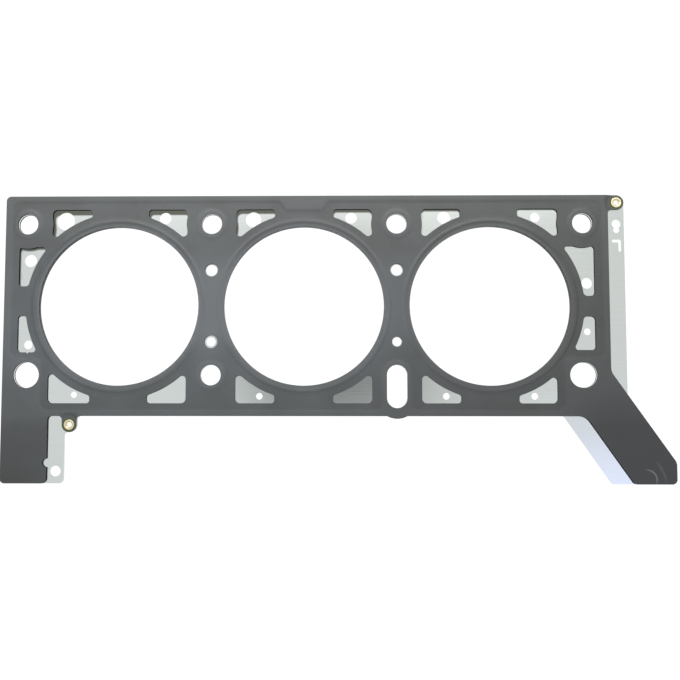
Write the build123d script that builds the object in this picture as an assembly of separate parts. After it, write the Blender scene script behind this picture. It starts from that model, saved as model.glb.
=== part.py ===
from build123d import *
import os

# Cylinder head gasket for one bank of a 60 degree V6, made of three steel sheets.
# Two thin coated and embossed sheets lie on either side of a bright flat spacer, and two brass
# eyelets hold the stack. It lies flat in the XY plane, with +Z towards the cylinder head.
# The origin is the centre of the middle bore, at the height of the lowest bead crest.
# All sizes are in millimetres.

# Cylinder bores
bore_pitch = 114.3
bore_d = 98.6

# Head bolts in two rows, and dowels at the ends of the lower row
bolt_d = 12.7
top_bolt_y = 51.0
low_bolt_y = -42.8
dowel_inset = 0.85
dowel_d = 16.0
oblong_l = 16.8
oblong_w = 15.4
slot_l = 26.5
slot_w = 12.6

# Thicknesses and heights
sheet_t = 0.25
spacer_t = 0.9
bead_h = 0.35
step_h = 0.25
play = 0.5

# Full bead round each bore, from the bore's edge
bead_offset = 3.3
bead_w = 3.4

# Half bead: the step between the low inner area and the high rim and pads
step_run = 1.3
rim_top = 4.6
rim_low = 4.5
rim_left = 5.1
rim_right = 4.3
pad_rim = 3.85
dowel_rim = 3.8
window_rim = 3.3
dip_half = 11.5
dip_depth = 5.7
dip_slant = 4.0
step_corner = 4.0
dip_corner = 3.0

# Outline of the coated sheets: the plate's margins beyond the bores, and the legs
left_margin = 21.6
right_margin = 23.5
top_margin = 19.2
low_margin = 18.6
leg_l = 41.0
left_leg_w = 28.4
right_leg_reach = 38.3
right_leg_shoulder = 27.2
right_leg_knee = 13.1
right_leg_inset = 15.6
corner_r = 3.0
leg_bend_r = 8.0
leg_knee_r = 6.0
inner_r = 2.5
notch_r = 2.6
notch_rise = 12.4
slot_rim = 6.5

# Eyelets and the tabs that carry them
tab_r = 4.6
tab_reach_right = 5.5
tab_reach_left = 5.3
left_tab_gap = 13.2
tab_root_r = 2.0
eyelet_hole_d = 3.2
eyelet_barrel_d = 4.2
eyelet_flange_d = 6.4
eyelet_flange_t = 0.4
eyelet_lip_r = 0.7
eyelet_edge_r = 0.25
eyelet_clearance = 0.05
dish_margin = 0.1
dish_run = 3.6

# Cooling windows beside each bore, with x measured from the bore's centre
window_land = 8.7
window_tip_x = 18.0
window_tip_w = 4.95
window_out_x = 42.0
window_tip_rounding = 0.4
window_corner_r = 2.9
window_point_r = 2.4
window_relief = 0.5
end_window_tip_x = 17.1
left_end_window_x = 43.0
right_end_window_x = 40.6

# Windows at the two ends of the gasket
side_land = 8.2
side_edge = 8.6
side_relief_r = 15.3
left_upper_span = (12.2, 36.7)
left_lower_span = (-28.8, -6.2)
right_upper_span = (5.8, 36.8)
right_lower_span = (-27.5, -6.8)
side_corner_r = 2.3
side_near_rounding = 0.37
side_point_r = 1.8
nick_r = 0.9
nick_x = 14.6

# Steam holes between the bores, left and right: diameters in the coated sheets and in the spacer
steam_top_y = 22.1
steam_low_y = -22.3
steam_top_d = (8.0, 8.0)
steam_low_d = (8.0, 6.7)
spacer_steam_top_d = (6.8, 6.8)
spacer_steam_low_d = (5.8, 5.6)

# Metering holes that the spacer has inside the windows above and below the bores:
# bore counted from the middle one, x from its centre, distance in from the window's far edge, diameter
top_metering = [
    (-1, -34.1, 7.0, 11.2),
    (-1, 28.0, 5.3, 7.4),
    (0, -31.5, 6.2, 9.6),
    (0, 29.1, 5.3, 7.1),
    (1, -27.9, 5.2, 8.0),
    (1, 28.4, 5.2, 6.1),
]
low_metering = [
    (-1, -27.0, 5.2, 3.9),
    (0, -27.2, 4.3, 4.0),
    (1, -27.2, 4.3, 4.1),
    (1, 26.6, 4.3, 4.2),
]

# The same in the windows at the ends: side, distance in from the window's outer edge, y, diameter
side_metering = [
    (-1, 6.8, 28.3, 7.7),
    (-1, 6.4, -24.1, 5.4),
    (1, 4.7, 13.7, 6.7),
    (1, 4.9, -16.2, 4.2),
]

# Spacer strips that stick out past the coated sheets, and their holes
right_strip_w = 10.1
left_strip_w = 10.4
slant_strip_w = 13.3
strip_hole_d = 6.5
strip_hole_rise = 7.4
keyhole_y = 50.6
keyhole_head_d = 5.5
keyhole_foot_d = 3.9
keyhole_drop = 3.7
angle_cut_y = 40.0
angle_cut_w = 5.7
angle_cut_h = 7.6
angle_cut_t = 1.8

# Worked out from the sizes above
bore_r = bore_d / 2
bolt_r = bolt_d / 2
bore_xs = [-bore_pitch, 0, bore_pitch]
bolt_xs = [-1.5 * bore_pitch, -0.5 * bore_pitch, 0.5 * bore_pitch, 1.5 * bore_pitch]
slot_end_y = low_bolt_y - (slot_l - slot_w)
slot_mid_y = (low_bolt_y + slot_end_y) / 2
dowel_x = bolt_xs[3] - dowel_inset
left_x = bore_xs[0] - bore_r - left_margin
right_x = bore_xs[2] + bore_r + right_margin
top_y = bore_r + top_margin
low_y = -bore_r - low_margin
leg_y = low_y - leg_l
left_leg_x = left_x + left_leg_w
right_leg_x = right_x + right_leg_reach
shoulder_y = low_y + right_leg_shoulder
knee_y = leg_y + right_leg_knee
leg_slope = (shoulder_y - knee_y) / right_leg_reach
leg_lean = leg_l / leg_slope
right_tab = (right_x + tab_reach_right, top_y - tab_r)
left_tab = (left_leg_x + left_tab_gap, low_y - tab_reach_left)
window_arc_r = bore_r + window_land
window_y = (window_arc_r**2 - window_tip_x**2) ** 0.5 + window_tip_w
side_arc_r = bore_r + side_land
pad_r = bolt_r + pad_rim
dish_r = tab_r + dish_margin
low_sheet_z = bead_h
spacer_z = low_sheet_z + sheet_t + play
mid_z = spacer_z + spacer_t / 2
top_sheet_z = spacer_z + spacer_t + play
overlap = sheet_t
beyond = 10 * spacer_t


def polygon(corners):
    """A face from a list of corners, each given as x, y and its rounding radius."""
    points = [(x, y) for x, y, r in corners]
    radii = [r for x, y, r in corners]
    return make_face(FilletPolyline(*points, radius=radii, close=True))


def disc(x, y, r):
    """A round face."""
    return Pos(x, y) * Circle(r)


def box(x0, x1, y0, y1):
    """A rectangular face between two x values and two y values."""
    return Pos((x0 + x1) / 2, (y0 + y1) / 2) * Rectangle(abs(x1 - x0), abs(y1 - y0))


def round_near(face, places):
    """Round the corner of a face that lies nearest to each place, given as x, y and radius."""
    for x, y, r in places:
        corner = face.vertices().sort_by_distance((x, y, 0))[0]
        face = fillet([corner], r)
    return face


# Outlines


def lug():
    """The round lug of every sheet below the slotted bolt hole."""
    return disc(bolt_xs[2], slot_end_y, slot_w / 2 + slot_rim)


def upper_tab():
    """The tab that carries the upper right eyelet, as long as it is outside the plate."""
    x, y = right_tab
    return box(right_x - overlap, x, y - tab_r, y + tab_r) + disc(x, y, tab_r)


def lower_tab():
    """The tab that carries the lower left eyelet, as long as it is outside the plate."""
    x, y = left_tab
    return box(x - tab_r, x + tab_r, y, low_y + overlap) + disc(x, y, tab_r)


def coated_outline():
    """The outline of the coated sheets, without holes: plate, two legs, two tabs and a lug."""
    inner_x = right_x - right_leg_inset
    plate = polygon(
        [
            (left_x, top_y, corner_r),
            (right_x, top_y, 0),
            (right_x, shoulder_y, leg_bend_r),
            (right_leg_x, knee_y, leg_knee_r),
            (right_leg_x, leg_y, corner_r),
            (inner_x + leg_lean, leg_y, inner_r),
            (inner_x, low_y, leg_bend_r),
            (left_leg_x, low_y, inner_r),
            (left_leg_x, leg_y, corner_r),
            (left_x, leg_y, corner_r),
        ]
    )
    face = plate + upper_tab() + lower_tab()
    face = round_near(
        face,
        [
            (right_x, right_tab[1] - tab_r, inner_r),
            (left_tab[0] - tab_r, low_y, tab_root_r),
            (left_tab[0] + tab_r, low_y, tab_root_r),
        ],
    )
    return face + lug() - disc(left_leg_x, leg_y + notch_rise, notch_r)


def spacer_outline():
    """The outline of the spacer: as the coated sheets, but with three strips that stick out."""
    strip_x = right_x + right_strip_w
    inner_x = right_x - right_leg_inset - slant_strip_w
    left_strip_x = left_leg_x + left_strip_w
    face = polygon(
        [
            (left_x, top_y, corner_r),
            (strip_x, top_y, tab_r),
            (strip_x, shoulder_y - right_strip_w * leg_slope, corner_r),
            (right_leg_x, knee_y, leg_knee_r),
            (right_leg_x, leg_y, corner_r),
            (inner_x + leg_lean, leg_y, inner_r),
            (inner_x, low_y, inner_r),
            (left_strip_x, low_y, 0),
            (left_strip_x, leg_y, corner_r),
            (left_x, leg_y, corner_r),
        ]
    )
    face += lower_tab()
    face = round_near(
        face,
        [
            (left_tab[0] + tab_r, low_y, tab_root_r),
            (left_strip_x, left_tab[1] - tab_r, tab_root_r),
        ],
    )
    return face + lug()


def low_area():
    """The inner area of a coated sheet that the half bead sets down from the rim, without the pads."""
    x0 = left_x + rim_left
    x1 = right_x - rim_right
    y0 = low_y + rim_low
    y1 = top_y - rim_top
    in_x0 = -bore_pitch - left_end_window_x - window_rim
    in_x1 = bore_pitch + right_end_window_x + window_rim
    dowel_y = low_bolt_y + dowel_d / 2 + dowel_rim
    dip_out = dip_half + dip_slant
    face = polygon(
        [
            (x0, y1, step_corner),
            (-dip_out, y1, dip_corner),
            (-dip_half, y1 - dip_depth, dip_corner),
            (dip_half, y1 - dip_depth, dip_corner),
            (dip_out, y1, dip_corner),
            (x1, y1, step_corner),
            (x1, dowel_y, step_corner),
            (in_x1, dowel_y, step_corner),
            (in_x1, y0, step_corner),
            (in_x0, y0, step_corner),
            (in_x0, dowel_y, step_corner),
            (x0, dowel_y, step_corner),
        ]
    )
    slot_x = bolt_xs[2]
    r = slot_w / 2 + pad_rim
    face -= box(slot_x - r, slot_x + r, y0 - overlap, low_bolt_y) + disc(slot_x, low_bolt_y, r)
    return round_near(face, [(slot_x - r, y0, dip_corner), (slot_x + r, y0, dip_corner)])


# Windows and holes


def bore_window(bore_x, way, up, tip_x, out_x):
    """A cooling window beside a bore: an arc round the bore, a straight side and a straight far edge.

    way is -1 to the left of the bore and 1 to its right, and up is 1 above the bores and -1 below.
    The narrow tip is rounded by a share of its width. The straight side of a window above the bores
    has a shallow relief round the bolt beside it.
    """
    tip = bore_x + way * tip_x
    out = bore_x + way * out_x
    far = up * window_y
    face = box(tip, out, 0, far) - disc(bore_x, 0, window_arc_r)
    arc_out = up * (window_arc_r**2 - out_x**2) ** 0.5
    arc_tip = up * (window_arc_r**2 - tip_x**2) ** 0.5
    tip_r = abs(far - arc_tip) * window_tip_rounding
    face = round_near(
        face,
        [
            (out, far, window_corner_r),
            (out, arc_out, window_point_r),
            (tip, far, tip_r),
            (tip, arc_tip, tip_r),
        ],
    )
    if up > 0:
        from_bolt = bore_pitch / 2 - out_x
        face -= disc(bore_x + way * bore_pitch / 2, top_bolt_y, from_bolt + window_relief)
    return face


def bore_windows():
    """The four cooling windows of each bore."""
    windows = []
    for bore_x in bore_xs:
        for way in (-1, 1):
            tip_x = window_tip_x
            low_out = window_out_x
            if bore_x == way * bore_pitch:
                tip_x = end_window_tip_x
                low_out = left_end_window_x if way < 0 else right_end_window_x
            windows.append(bore_window(bore_x, way, 1, tip_x, window_out_x))
            windows.append(bore_window(bore_x, way, -1, tip_x, low_out))
    return windows


def side_window_edge(way):
    """The x of the straight outer edge of the windows at one end."""
    return left_x + side_edge if way < 0 else right_x - side_edge


def side_window(way, span, beside_bolt):
    """A window at one end of the gasket: a straight outer edge and an arc round the end bore.

    Its end near the middle is rounded by a share of its width there.
    """
    outer = side_window_edge(way)
    bore_x = way * bore_pitch
    face = box(outer, bore_x, *span) - disc(bore_x, 0, side_arc_r)
    point_y = max(span, key=abs)
    near_y = min(span, key=abs)
    point_x = bore_x + way * (side_arc_r**2 - point_y**2) ** 0.5
    near_x = bore_x + way * (side_arc_r**2 - near_y**2) ** 0.5
    near_r = abs(near_x - outer) * side_near_rounding
    face = round_near(
        face,
        [
            (outer, near_y, near_r),
            (outer, point_y, side_corner_r),
            (near_x, near_y, near_r),
            (point_x, point_y, side_point_r),
        ],
    )
    if beside_bolt:
        face -= disc(way * bolt_xs[3], top_bolt_y, side_relief_r)
    return face


def side_windows():
    """The four windows at the two ends, with the small nick at the foot of the lower left one."""
    nick = disc(left_x + nick_x, left_lower_span[0], nick_r)
    return [
        side_window(-1, left_upper_span, True),
        side_window(-1, left_lower_span, False) + nick,
        side_window(1, right_upper_span, True),
        side_window(1, right_lower_span, False),
    ]


def steam_holes(top_d, low_d):
    """The four small holes between the bores."""
    faces = []
    for i in range(2):
        x = bolt_xs[1 + i]
        faces.append(disc(x, steam_top_y, top_d[i] / 2))
        faces.append(disc(x, steam_low_y, low_d[i] / 2))
    return faces


def through_holes():
    """The openings that every sheet has alike: bores, bolt and dowel holes, slot and eyelet holes."""
    faces = [disc(x, 0, bore_r) for x in bore_xs]
    faces += [disc(x, top_bolt_y, bolt_r) for x in bolt_xs]
    faces.append(disc(bolt_xs[1], low_bolt_y, bolt_r))
    faces.append(disc(-dowel_x, low_bolt_y, dowel_d / 2))
    faces.append(Pos(dowel_x, low_bolt_y) * SlotOverall(oblong_l, oblong_w))
    faces.append(Pos(bolt_xs[2], slot_mid_y) * SlotOverall(slot_l, slot_w, rotation=90))
    for x, y in (right_tab, left_tab):
        faces.append(disc(x, y, eyelet_barrel_d / 2 + eyelet_clearance))
    return faces


def metering_holes():
    """The small round holes that only the spacer has, inside the windows."""
    faces = []
    for bore, x, inset, d in top_metering:
        faces.append(disc(bore * bore_pitch + x, window_y - inset, d / 2))
    for bore, x, inset, d in low_metering:
        faces.append(disc(bore * bore_pitch + x, inset - window_y, d / 2))
    for way, inset, y, d in side_metering:
        faces.append(disc(side_window_edge(way) - way * inset, y, d / 2))
    return faces


def strip_cuts():
    """The openings in the spacer's strips: a round hole, a keyhole and a right-angled cut."""
    hole = disc(left_leg_x + left_strip_w / 2, leg_y + strip_hole_rise, strip_hole_d / 2)
    x = right_tab[0]
    keyhole = disc(x, keyhole_y, keyhole_head_d / 2)
    keyhole += disc(x, keyhole_y - keyhole_drop, keyhole_foot_d / 2)
    arm = Pos(x, angle_cut_y) * SlotOverall(angle_cut_w, angle_cut_t)
    leg_x = x + (angle_cut_w - angle_cut_t) / 2
    leg_mid_y = angle_cut_y - (angle_cut_h - angle_cut_t) / 2
    leg = Pos(leg_x, leg_mid_y) * SlotOverall(angle_cut_h, angle_cut_t, rotation=90)
    return [hole, keyhole, arm + leg]


def cut_through(solid, faces):
    """Cut faces right through a solid."""
    return solid - [extrude(Pos(0, 0, -beyond) * face, 2 * beyond) for face in faces]


# Embossing of the coated sheets, with the low area's underside at height 0


def sunk_area(z):
    """The low area as a solid one step high, which widens upwards by the run of the half bead."""
    foot = low_area()
    head = offset(foot, step_run)
    solid = loft([Pos(0, 0, z) * foot, Pos(0, 0, z + step_h) * head], ruled=True)
    pads = [(x, top_bolt_y) for x in bolt_xs] + [(bolt_xs[1], low_bolt_y)]
    for x, y in pads:
        solid -= Pos(x, y, z + step_h / 2) * Cone(pad_r, pad_r - step_run, step_h)
    return solid


def bead_ring(z, depth):
    """A ring round a bore: its top is the bead's wave, which starts at height z, and it is depth deep.

    The wave is four equal arcs, each tangent to the next, so the sheet bends without a crease.
    """
    crest = bore_r + bead_offset
    half = bead_w / 2
    bend_r = (half**2 + bead_h**2) / (4 * bead_h)
    quarter_rise = bend_r - (bend_r**2 - (half / 4) ** 2) ** 0.5
    low = z - depth
    wave = [
        ThreePointArc(
            (crest - half, z),
            (crest - 0.75 * half, z + quarter_rise),
            (crest - half / 2, z + bead_h / 2),
        ),
        ThreePointArc(
            (crest - half / 2, z + bead_h / 2),
            (crest, z + bead_h),
            (crest + half / 2, z + bead_h / 2),
        ),
        ThreePointArc(
            (crest + half / 2, z + bead_h / 2),
            (crest + 0.75 * half, z + quarter_rise),
            (crest + half, z),
        ),
    ]
    sides = Polyline((crest + half, z), (crest + half, low), (crest - half, low), (crest - half, z))
    return revolve(Plane.XZ * make_face(wave + [sides]), Axis.Z)


def dish(outline, x, y):
    """The dish that brings a tab down on to the spacer, so that the eyelet can clamp it."""
    top = step_h + sheet_t
    out_r = dish_r + dish_run
    section = make_face(
        Polyline(
            (0, -play),
            (dish_r, -play),
            (out_r, step_h),
            (out_r, top),
            (dish_r, sheet_t - play),
            (0, sheet_t - play),
            close=True,
        )
    )
    cone = Pos(x, y) * revolve(Plane.XZ * section, Axis.Z)
    return cone & extrude(Pos(0, 0, -play) * outline, top + play)


def coated_sheet():
    """One coated sheet with its beads upwards."""
    outline = coated_outline()
    sheet = extrude(Pos(0, 0, step_h) * outline, sheet_t)
    sheet += sunk_area(0)
    sheet -= sunk_area(sheet_t)
    for x in bore_xs:
        sheet += Pos(x) * bead_ring(sheet_t, overlap)
        sheet -= Pos(x) * bead_ring(0, overlap)
    for x, y in (right_tab, left_tab):
        well = Pos(x, y) * Cylinder(dish_r + dish_run, beyond)
        sheet = sheet - well + dish(outline, x, y)
    openings = through_holes() + bore_windows() + side_windows()
    openings += steam_holes(steam_top_d, steam_low_d)
    return cut_through(sheet, openings)


# The sub-parts


def spacer():
    """The bright flat sheet between the coated ones."""
    sheet = extrude(Pos(0, 0, spacer_z) * spacer_outline(), spacer_t)
    openings = through_holes() + strip_cuts() + metering_holes()
    openings += steam_holes(spacer_steam_top_d, spacer_steam_low_d)
    return cut_through(sheet, openings)


def eyelet(x, y):
    """A hollow eyelet: a barrel through all three sheets with a rolled flange at each end."""
    half = spacer_t / 2 + sheet_t + eyelet_flange_t
    inner = eyelet_hole_d / 2
    barrel = eyelet_barrel_d / 2
    outer = eyelet_flange_d / 2
    grip = half - eyelet_flange_t
    section = box(inner, outer, -half, half) - box(barrel, outer, -grip, grip)
    section = round_near(
        section,
        [
            (inner, -half, eyelet_lip_r),
            (inner, half, eyelet_lip_r),
            (outer, -half, eyelet_edge_r),
            (outer, half, eyelet_edge_r),
        ],
    )
    return Pos(x, y, mid_z) * revolve(Plane.XZ * section, Axis.Z)


def build():
    """Every sub-part by the name of its node."""
    top_sheet = Pos(0, 0, top_sheet_z) * coated_sheet()
    return {
        "top_sheet": top_sheet,
        "spacer": spacer(),
        "bottom_sheet": mirror(top_sheet, Plane.XY.offset(mid_z)),
        "eyelet_right": eyelet(*right_tab),
        "eyelet_left": eyelet(*left_tab),
    }


if __name__ == "__main__":
    os.makedirs("parts", exist_ok=True)
    for name, solid in build().items():
        export_step(solid, f"parts/{name}.step")
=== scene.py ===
import math

import bpy
import numpy as np
from bpy.props import FloatProperty, FloatVectorProperty, PointerProperty
from bpy.types import Operator, Panel, PropertyGroup
from mathutils import Matrix, Vector
from mathutils.geometry import delaunay_2d_cdt


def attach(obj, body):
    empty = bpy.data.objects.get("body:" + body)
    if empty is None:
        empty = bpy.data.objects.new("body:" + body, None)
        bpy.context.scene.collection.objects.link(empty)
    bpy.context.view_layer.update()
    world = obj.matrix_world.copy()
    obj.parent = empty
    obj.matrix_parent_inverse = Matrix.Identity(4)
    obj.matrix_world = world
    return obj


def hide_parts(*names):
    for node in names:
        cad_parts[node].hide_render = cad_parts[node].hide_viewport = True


bl_info = {
    "name": "Cylinder head gasket",
    "version": (1, 0, 0),
    "blender": (4, 5, 0),
    "location": "View3D > Sidebar > Gasket",
    "description": "Embossed multi-layer steel head gasket for one bank of a V6, with its studio",
    "category": "Object",
}

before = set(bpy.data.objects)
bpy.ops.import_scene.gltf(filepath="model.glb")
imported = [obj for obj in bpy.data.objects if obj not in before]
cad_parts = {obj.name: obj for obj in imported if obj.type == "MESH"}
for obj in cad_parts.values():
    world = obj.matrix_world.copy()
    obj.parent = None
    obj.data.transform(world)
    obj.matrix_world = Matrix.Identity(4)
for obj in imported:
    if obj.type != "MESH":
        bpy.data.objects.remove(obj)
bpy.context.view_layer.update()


# Sizes and colours that a user would change. Lengths are given in millimetres and kept in metres.


def length(name, millimetres, description):
    """A length property whose default is given in millimetres."""
    return FloatProperty(
        name=name, description=description, default=millimetres / 1000, unit="LENGTH", precision=5
    )


def amount(name, value, description, least=0.0, most=10000.0):
    """A plain number property."""
    return FloatProperty(name=name, description=description, default=value, min=least, max=most)


def linear(hex_value):
    """An sRGB hex value, such as 6E7173, as linear red, green, blue and an alpha of 1."""
    parts = [int(hex_value[i : i + 2], 16) / 255 for i in (0, 2, 4)]
    return [p / 12.92 if p <= 0.04045 else ((p + 0.055) / 1.055) ** 2.4 for p in parts] + [1.0]


def colour(name, hex_value, description):
    """A colour property whose default is an sRGB hex value."""
    tone = linear(hex_value)
    return FloatVectorProperty(
        name=name, description=description, default=tone, subtype="COLOR", size=4, min=0, max=1
    )


class GasketSizes(PropertyGroup):
    """Sizes in the plane of the gasket, measured from the centre of the middle bore."""

    bore_pitch: length("Bore pitch", 114.3, "Distance between neighbouring bores")
    bore_d: length("Bore", 98.6, "Diameter of a bore")
    bolt_d: length("Bolt hole", 12.7, "Diameter of a head bolt hole")
    top_bolt_y: length("Upper bolts", 51.0, "Height of the upper bolt row")
    low_bolt_y: length("Lower bolts", -42.8, "Height of the lower bolt row")
    dowel_inset: length("Dowel inset", 0.85, "How far the dowels lie inside the bolt columns")
    dowel_d: length("Dowel hole", 16.0, "Diameter of the left dowel hole")
    oblong_l: length("Oblong length", 16.8, "Length of the right dowel hole")
    oblong_w: length("Oblong width", 15.4, "Width of the right dowel hole")
    slot_l: length("Slot length", 26.5, "Length of the slotted bolt hole")
    slot_w: length("Slot width", 12.6, "Width of the slotted bolt hole")
    left_margin: length("Left margin", 21.6, "Plate beyond the left bore")
    right_margin: length("Right margin", 23.5, "Plate beyond the right bore")
    top_margin: length("Top margin", 19.2, "Plate above the bores")
    low_margin: length("Lower margin", 18.6, "Plate below the bores")
    leg_l: length("Leg length", 41.0, "How far the legs hang below the plate")
    left_leg_w: length("Left leg width", 28.4, "Width of the left leg")
    right_leg_reach: length("Right leg reach", 38.3, "How far the right leg leans out")
    right_leg_shoulder: length("Right leg shoulder", 27.2, "Where the right leg leaves the plate")
    right_leg_knee: length("Right leg knee", 13.1, "Upright part at the foot of the right leg")
    right_leg_inset: length("Right leg inset", 15.6, "Inner edge of the right leg")
    corner_r: length("Corner", 3.0, "Radius of the plate's corners")
    leg_bend_r: length("Leg bend", 8.0, "Radius where the right leg bends")
    leg_knee_r: length("Knee", 6.0, "Radius of the right leg's knee")
    inner_r: length("Inner corner", 2.5, "Radius of the inner corners")
    notch_r: length("Notch", 2.6, "Radius of the left leg's notch")
    notch_rise: length("Notch rise", 12.4, "Notch above the foot of the leg")
    slot_rim: length("Lug rim", 6.5, "Sheet round the foot of the slot")
    tab_r: length("Tab", 4.6, "Radius of an eyelet tab")
    tab_reach_right: length("Right tab", 5.5, "How far the right tab sticks out")
    tab_reach_left: length("Left tab", 5.3, "How far the left tab sticks out")
    left_tab_gap: length("Left tab gap", 13.2, "From the left leg to the left tab")
    tab_root_r: length("Tab root", 2.0, "Radius at the root of the left tab")
    window_land: length("Window land", 8.7, "Sheet between a bore and its windows")
    window_tip_x: length("Window tip", 18.0, "From the bore's centre to a window's tip")
    window_tip_w: length("Window tip width", 4.95, "Width of a window's tip")
    window_out_x: length("Window end", 42.0, "From the bore's centre to a window's end")
    window_corner_r: length("Window corner", 2.9, "Radius of the outer corner")
    window_point_r: length("Window point", 2.4, "Radius of the outer point")
    window_relief: length("Window relief", 0.5, "Depth of the relief beside an upper bolt")
    end_window_tip_x: length("End window tip", 17.1, "The same tip beside the end bores")
    left_end_window_x: length("Left end window", 43.0, "End of the lower left window")
    right_end_window_x: length("Right end window", 40.6, "End of the lower right window")
    side_land: length("Side land", 8.2, "Sheet between an end bore and the side windows")
    side_edge: length("Side edge", 8.6, "Sheet outside the side windows")
    side_relief_r: length("Side relief", 15.3, "Radius round the end bolts that cuts the side windows")
    side_corner_r: length("Side corner", 2.3, "Radius of a side window's outer corner")
    side_point_r: length("Side point", 1.8, "Radius of a side window's point")
    nick_r: length("Nick", 0.9, "Radius of the nick in the lower left side window")
    nick_x: length("Nick place", 14.6, "From the left edge to the nick")
    steam_top_y: length("Upper steam holes", 22.1, "Height of the upper steam holes")
    steam_low_y: length("Lower steam holes", -22.3, "Height of the lower steam holes")
    right_strip_w: length("Right strip", 10.1, "Spacer that shows at the right edge")
    left_strip_w: length("Left strip", 10.4, "Spacer that shows beside the left leg")
    slant_strip_w: length("Slanted strip", 13.3, "Spacer that shows beside the right leg")
    strip_hole_d: length("Strip hole", 6.5, "Round hole in the left strip")
    strip_hole_rise: length("Strip hole rise", 7.4, "Hole above the strip's foot")
    keyhole_y: length("Keyhole", 50.6, "Height of the keyhole's head")
    keyhole_head_d: length("Keyhole head", 5.5, "Diameter of the keyhole's head")
    keyhole_foot_d: length("Keyhole foot", 3.9, "Diameter of the keyhole's foot")
    keyhole_drop: length("Keyhole drop", 3.7, "From its head to its foot")
    angle_cut_y: length("Angle cut", 40.0, "Height of the right-angled cut")
    angle_cut_w: length("Angle cut width", 5.7, "Width of the cut's arm")
    angle_cut_h: length("Angle cut height", 7.6, "Height of the cut's leg")
    angle_cut_t: length("Angle cut line", 1.8, "Width of the cut's line")


class EmbossSizes(PropertyGroup):
    """Thicknesses, and the beads, steps and dishes pressed into the coated sheets."""

    sheet_t: length("Coated sheet", 0.25, "Thickness of a coated sheet")
    spacer_t: length("Spacer", 0.9, "Thickness of the spacer")
    bead_h: length("Bead height", 0.35, "Height of the full bead round a bore")
    step_h: length("Step height", 0.25, "Height of the half bead")
    play: length("Play", 0.5, "Air between a low area and the spacer before clamping")
    bead_offset: length("Bead offset", 3.3, "From the bore's edge to the bead's crest")
    bead_w: length("Bead width", 3.4, "Width of the full bead")
    step_run: length("Step run", 2.3, "Width of the half bead's slope")
    rim_top: length("Top rim", 4.6, "High rim along the top edge")
    rim_low: length("Lower rim", 4.5, "High rim along the lower edge")
    rim_left: length("Left rim", 5.1, "High rim along the left edge")
    rim_right: length("Right rim", 4.3, "High rim along the right edge")
    pad_rim: length("Pad rim", 3.85, "Pad round a bolt hole")
    dowel_rim: length("Dowel rim", 3.8, "Pad above a dowel hole")
    window_rim: length("Window rim", 3.3, "Low strip beside the lower end windows")
    dip_half: length("Dip", 11.5, "Half the length of the dip at the top middle")
    dip_depth: length("Dip depth", 5.7, "Depth of the dip")
    dip_slant: length("Dip slant", 4.0, "Slanted end of the dip")
    step_corner: length("Step corner", 4.0, "Radius of the half bead's corners")
    dip_corner: length("Dip corner", 3.0, "Radius of the dip's corners")
    dish_run: length("Dish run", 3.6, "Slope of the dish round an eyelet")
    dish_margin: length("Dish margin", 0.1, "Flat of the dish beyond the tab")
    eyelet_hole_d: length("Eyelet hole", 3.2, "Inside of an eyelet")
    eyelet_barrel_d: length("Eyelet barrel", 4.2, "Outside of its barrel")
    eyelet_flange_d: length("Eyelet flange", 6.4, "Outside of its flange")
    eyelet_flange_t: length("Flange thickness", 0.4, "Thickness of the flange")
    eyelet_clearance: length("Eyelet clearance", 0.05, "Gap round the barrel")
    spacing: length("Mesh spacing", 3.2, "Distance between mesh points in flat areas")
    fine_spacing: length("Edge spacing", 1.0, "Distance between mesh points along edges")
    window_rounding: amount("Tip rounding", 0.4, "Share of a window tip's width", 0.1, 0.45)
    side_rounding: amount("Side rounding", 0.37, "Share of a side window's width", 0.1, 0.45)


class Finishes(PropertyGroup):
    """Colours of the three finishes and of the studio."""

    coat: colour("Coating", "545656", "Satin elastomer coat on the outer sheets")
    coat_dark: colour("Coating, shaded", "4A4B4A", "Darker clouds in the coat")
    coat_thin: colour("Coating, thin", "5F6162", "Thin coat beside the bores")
    steel: colour("Spacer steel", "E2E6E4", "Cold-rolled steel of the spacer")
    steel_dark: colour("Spacer streaks", "D5D9D7", "Rolling streaks in the steel")
    brass: colour("Eyelet brass", "FAF0D0", "Rolled brass of the eyelets")
    floor: colour("Floor", "FFFFFF", "Pale floor")


class StudioValues(PropertyGroup):
    """The studio: camera and lights."""

    lens: amount("Lens", 29.647, "Focal length in millimetres", 10)
    camera_height: length("Camera height", 344.27, "Camera above the floor")
    key_strip: amount("Key strip", 1.8, "Watts")
    top_strip: amount("Top strip", 0.22, "Watts")
    web_strip: amount("Web strip", 0.08, "Watts")
    sky: amount("Ceiling", 0.86, "Brightness overhead")
    walls: amount("Walls", 0.18, "Brightness at the sides")
    left_glow: amount("Left glow", 0.08, "Cool patch overhead")
    right_glow: amount("Right glow", 0.85, "Violet patch at the right")
    back_glow: amount("Back glow", 0.1, "Patch above the rear")


# Values that the photo fixes and that nobody would change. Places are in metres, in the CAD's frame.

LEFT_UPPER_SPAN = (0.0122, 0.0367)
LEFT_LOWER_SPAN = (-0.0062, -0.0288)
RIGHT_UPPER_SPAN = (0.0058, 0.0368)
RIGHT_LOWER_SPAN = (-0.0068, -0.0275)
STEAM_TOP_D = (0.008, 0.008)
STEAM_LOW_D = (0.008, 0.0067)
SPACER_STEAM_TOP_D = (0.0068, 0.0068)
SPACER_STEAM_LOW_D = (0.0058, 0.0056)

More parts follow.
